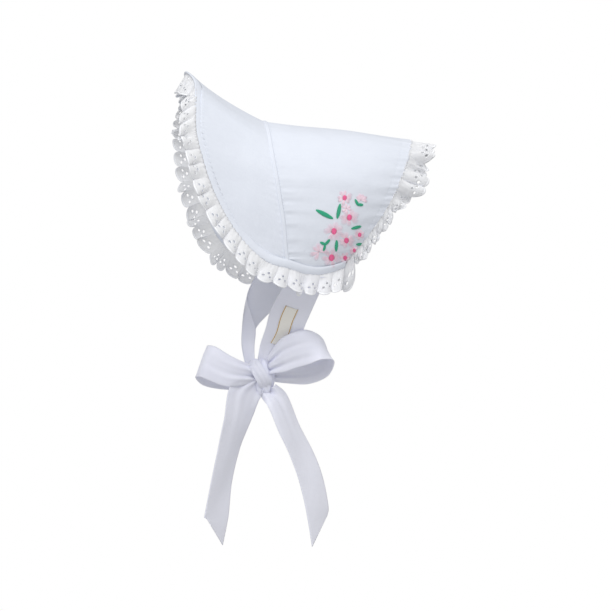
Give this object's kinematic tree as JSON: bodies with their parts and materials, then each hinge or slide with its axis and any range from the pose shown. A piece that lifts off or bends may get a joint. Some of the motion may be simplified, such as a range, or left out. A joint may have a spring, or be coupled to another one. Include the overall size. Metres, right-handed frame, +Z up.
{
  "type": "baby bonnet",
  "caption": "White cotton baby bonnet with a flared brim, gathered eyelet lace round every edge, a floral sprig embroidered at the nape and ribbon ties knotted in a bow.",
  "frame": {"origin": "inside the top of the crown, where the bonnet sits on the head", "axes": "-X is the face and the brim, +X the nape, -Y the side with the embroidery, +Z up"},
  "size_m": [0.2418, 0.1886, 0.4256],
  "materials": {
    "cotton": "fine plain-woven white cotton with a faint blue cast, matt",
    "eyelet_lace": "pierced white cotton lace with corded scallops, matt",
    "ribbon": "smooth white cotton ribbon with a soft sheen",
    "woven_label": "narrow woven tape with a plain border line"
  },
  "bodies": {
    "root": {"crown": "cotton", "brim": "cotton", "seam_piping": "cotton", "edge_binding": "cotton", "brim_ruffle": "eyelet_lace", "back_ruffle": "eyelet_lace", "near_tie": "ribbon", "far_tie": "ribbon", "left_loop": "ribbon", "right_loop": "ribbon", "left_tail": "ribbon", "right_tail": "ribbon", "bow_knot": "ribbon", "label": "woven_label"}
  },
  "joints": []
}
